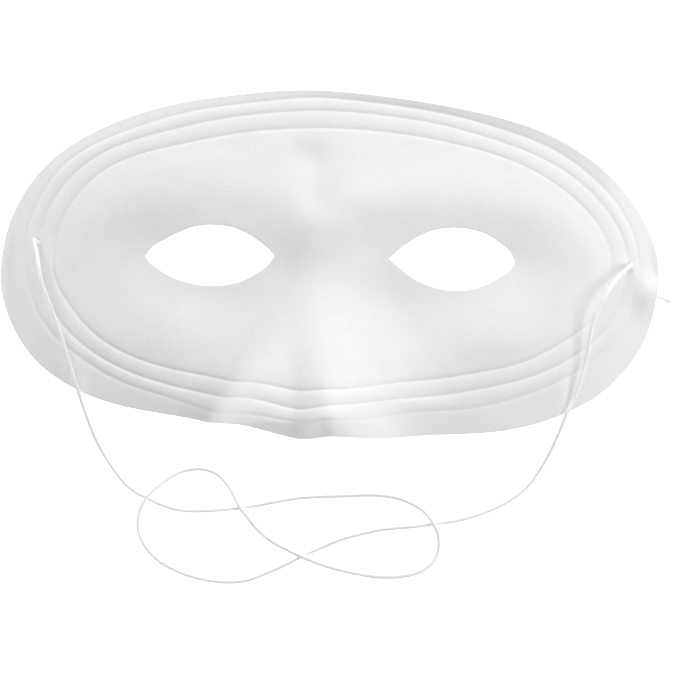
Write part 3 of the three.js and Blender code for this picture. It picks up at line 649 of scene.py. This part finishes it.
def ramp(nt, fac, stops):
    r = nt.nodes.new("ShaderNodeValToRGB")
    while len(r.color_ramp.elements) < len(stops):
        r.color_ramp.elements.new(0.5)
    for e, (p, c) in zip(r.color_ramp.elements, stops):
        e.position = p
        e.color = c if len(c) == 4 else (*c, 1)
    nt.links.new(fac, r.inputs["Fac"])
    return r.outputs["Color"]


def mix(nt, kind, fac, a, b):
    n = nt.nodes.new("ShaderNodeMix")
    n.data_type = "RGBA"
    n.blend_type = kind
    for sock, v in ((n.inputs[0], fac), (n.inputs[6], a), (n.inputs[7], b)):
        if hasattr(v, "is_output") or hasattr(v, "links"):
            nt.links.new(v, sock)
        else:
            sock.default_value = v
    return n.outputs[2]


def math_node(nt, op, a, b=0.0, clamp=False):
    n = nt.nodes.new("ShaderNodeMath")
    n.operation = op
    n.use_clamp = clamp
    for sock, v in ((n.inputs[0], a), (n.inputs[1], b)):
        if hasattr(v, "links"):
            nt.links.new(v, sock)
        else:
            sock.default_value = v
    return n.outputs[0]


def felt():
    m, nt, bsdf = material("pressed_fibre_sheet")
    tc = nt.nodes.new("ShaderNodeTexCoord").outputs["Object"]
    # clouded formation of the sheet, some millimetres across
    cloud = noise(nt, tc, 110.0, 4.0, 0.55)
    fine = noise(nt, tc, 900.0, 4.0, 0.6)
    # matted fibres: three sets of stretched noise at different angles
    f1 = noise(nt, tc, 1500.0, 2.0, 0.5, ((1.0, 0.16, 1.0), (0, 0, 0.35)), 0.6)
    f2 = noise(nt, tc, 1500.0, 2.0, 0.5, ((0.16, 1.0, 1.0), (0, 0, 0.9)), 0.6)
    f3 = noise(nt, tc, 1300.0, 2.0, 0.5, ((1.0, 0.2, 1.0), (0, 0, -0.8)), 0.6)
    fibre = math_node(nt, "MAXIMUM", math_node(nt, "MAXIMUM", f1, f2), f3)
    col = ramp(nt, cloud, [(0.3, FELT_DARK), (0.7, FELT_LIGHT)])
    col2 = ramp(nt, fibre, [(0.42, (0.972, 0.972, 0.972)), (0.75, (1.0, 1.0, 1.0))])
    col = mix(nt, "MULTIPLY", 1.0, col, col2)
    speck = ramp(nt, fine, [(0.28, (0.955, 0.955, 0.955)), (0.45, (1, 1, 1))])
    col = mix(nt, "MULTIPLY", 0.6, col, speck)
    nt.links.new(col, bsdf.inputs["Base Color"])
    rough = ramp(nt, fibre, [(0.4, (0.95,) * 3), (0.75, (0.82,) * 3)])
    nt.links.new(rough, bsdf.inputs["Roughness"])
    bsdf.inputs["Specular IOR Level"].default_value = 0.22
    bsdf.inputs["Sheen Weight"].default_value = 0.12
    bsdf.inputs["Sheen Roughness"].default_value = 0.6
    h = math_node(nt, "ADD", math_node(nt, "MULTIPLY", fibre, 0.7), math_node(nt, "MULTIPLY", fine, 0.5))
    h = math_node(nt, "ADD", h, math_node(nt, "MULTIPLY", cloud, 0.9))
    bump = nt.nodes.new("ShaderNodeBump")
    bump.inputs["Strength"].default_value = 0.22
    bump.inputs["Distance"].default_value = 0.00010
    nt.links.new(h, bump.inputs["Height"])
    nt.links.new(bump.outputs[0], bsdf.inputs["Normal"])
    return m


def braid():
    m, nt, bsdf = material("braided_elastic")
    uv = nt.nodes.new("ShaderNodeUVMap")
    uv.uv_map = "along"
    sep = nt.nodes.new("ShaderNodeSeparateXYZ")
    nt.links.new(uv.outputs[0], sep.inputs[0])
    u, v = sep.outputs[0], sep.outputs[1]
    tau = 2 * math.pi
    ua = math_node(nt, "MULTIPLY", u, tau / 1.5)
    va = math_node(nt, "MULTIPLY", v, tau * 4)
    a = math_node(nt, "SINE", math_node(nt, "ADD", ua, va))
    b = math_node(nt, "SINE", math_node(nt, "SUBTRACT", ua, va))
    w = math_node(nt, "MULTIPLY", math_node(nt, "ADD", math_node(nt, "MULTIPLY", a, b), 1.0), 0.5)
    tc = nt.nodes.new("ShaderNodeTexCoord").outputs["Object"]
    fuzz = noise(nt, tc, 2600.0, 3.0, 0.6)
    patch = noise(nt, tc, 160.0, 2.0, 0.5)
    # weave colour: painted shade, darker where the weave height w is low, in the hollows between the strands
    col = ramp(nt, w, [(0.0, (0.86, 0.86, 0.86)), (0.6, (0.95, 0.95, 0.95))])
    tint = ramp(nt, patch, [(0.3, (0.955, 0.95, 0.94)), (0.7, (1, 1, 1))])
    col = mix(nt, "MULTIPLY", 1.0, col, tint)
    nt.links.new(col, bsdf.inputs["Base Color"])
    rough = ramp(nt, fuzz, [(0.3, (0.72,) * 3), (0.7, (0.88,) * 3)])
    nt.links.new(rough, bsdf.inputs["Roughness"])
    bsdf.inputs["Specular IOR Level"].default_value = 0.3
    bsdf.inputs["Sheen Weight"].default_value = 0.2
    h = math_node(nt, "ADD", w, math_node(nt, "MULTIPLY", fuzz, 0.5))
    bump = nt.nodes.new("ShaderNodeBump")
    bump.inputs["Strength"].default_value = 0.6
    bump.inputs["Distance"].default_value = 0.00010
    nt.links.new(h, bump.inputs["Height"])
    nt.links.new(bump.outputs[0], bsdf.inputs["Normal"])
    return m


FELT_DARK, FELT_LIGHT = (0.835, 0.835, 0.822), (0.86, 0.86, 0.848)
shell.data.materials.append(felt())
elastic = braid()
for ob in (cord, left_knot, right_knot):
    ob.data.materials.append(elastic)

# ------------------------------------------------------------------ floor and light
floor_me = bpy.data.meshes.new("floor")
floor_me.from_pydata([(-4, -4, 0), (4, -4, 0), (4, 4, 0), (-4, 4, 0)], [], [(0, 1, 2, 3)])
floor = bpy.data.objects.new("floor", floor_me)
coll.objects.link(floor)
floor.location.z = -0.0002
fm, fnt, fb = material("pale_floor")
fb.inputs["Base Color"].default_value = (0.93, 0.93, 0.93, 1)
fb.inputs["Roughness"].default_value = 0.9
fb.inputs["Specular IOR Level"].default_value = 0.1
fb.inputs["Emission Color"].default_value = (1, 1, 1, 1)
fb.inputs["Emission Strength"].default_value = 1.0
floor_me.materials.append(fm)

world = bpy.data.worlds.new("studio")
scene.world = world
world.use_nodes = True
bg = world.node_tree.nodes["Background"]
bg.inputs[0].default_value = (1, 1, 1, 1)
bg.inputs[1].default_value = WORLD = 0.31


def area(name, where, aim, size, power, color=(1, 1, 1)):
    d = bpy.data.lights.new(name, "AREA")
    d.shape = "RECTANGLE"
    d.size, d.size_y = size
    d.energy = power
    d.color = color
    o = bpy.data.objects.new(name, d)
    coll.objects.link(o)
    o.location = where
    v = Vector(aim) - Vector(where)
    o.rotation_euler = v.to_track_quat("-Z", "Y").to_euler()
    return o


area("key", (1.145, -0.10, 0.964), (0, 0, 0.02), (0.8, 0.8), 7.8)
area("back", (-0.297, 1.11, 0.964), (0, 0, 0.02), (2.0, 2.0), 22.8)
scene.view_settings.view_transform = "Standard"
scene.view_settings.look = "None"
scene.view_settings.exposure = 0.0
scene.view_settings.gamma = 1.0
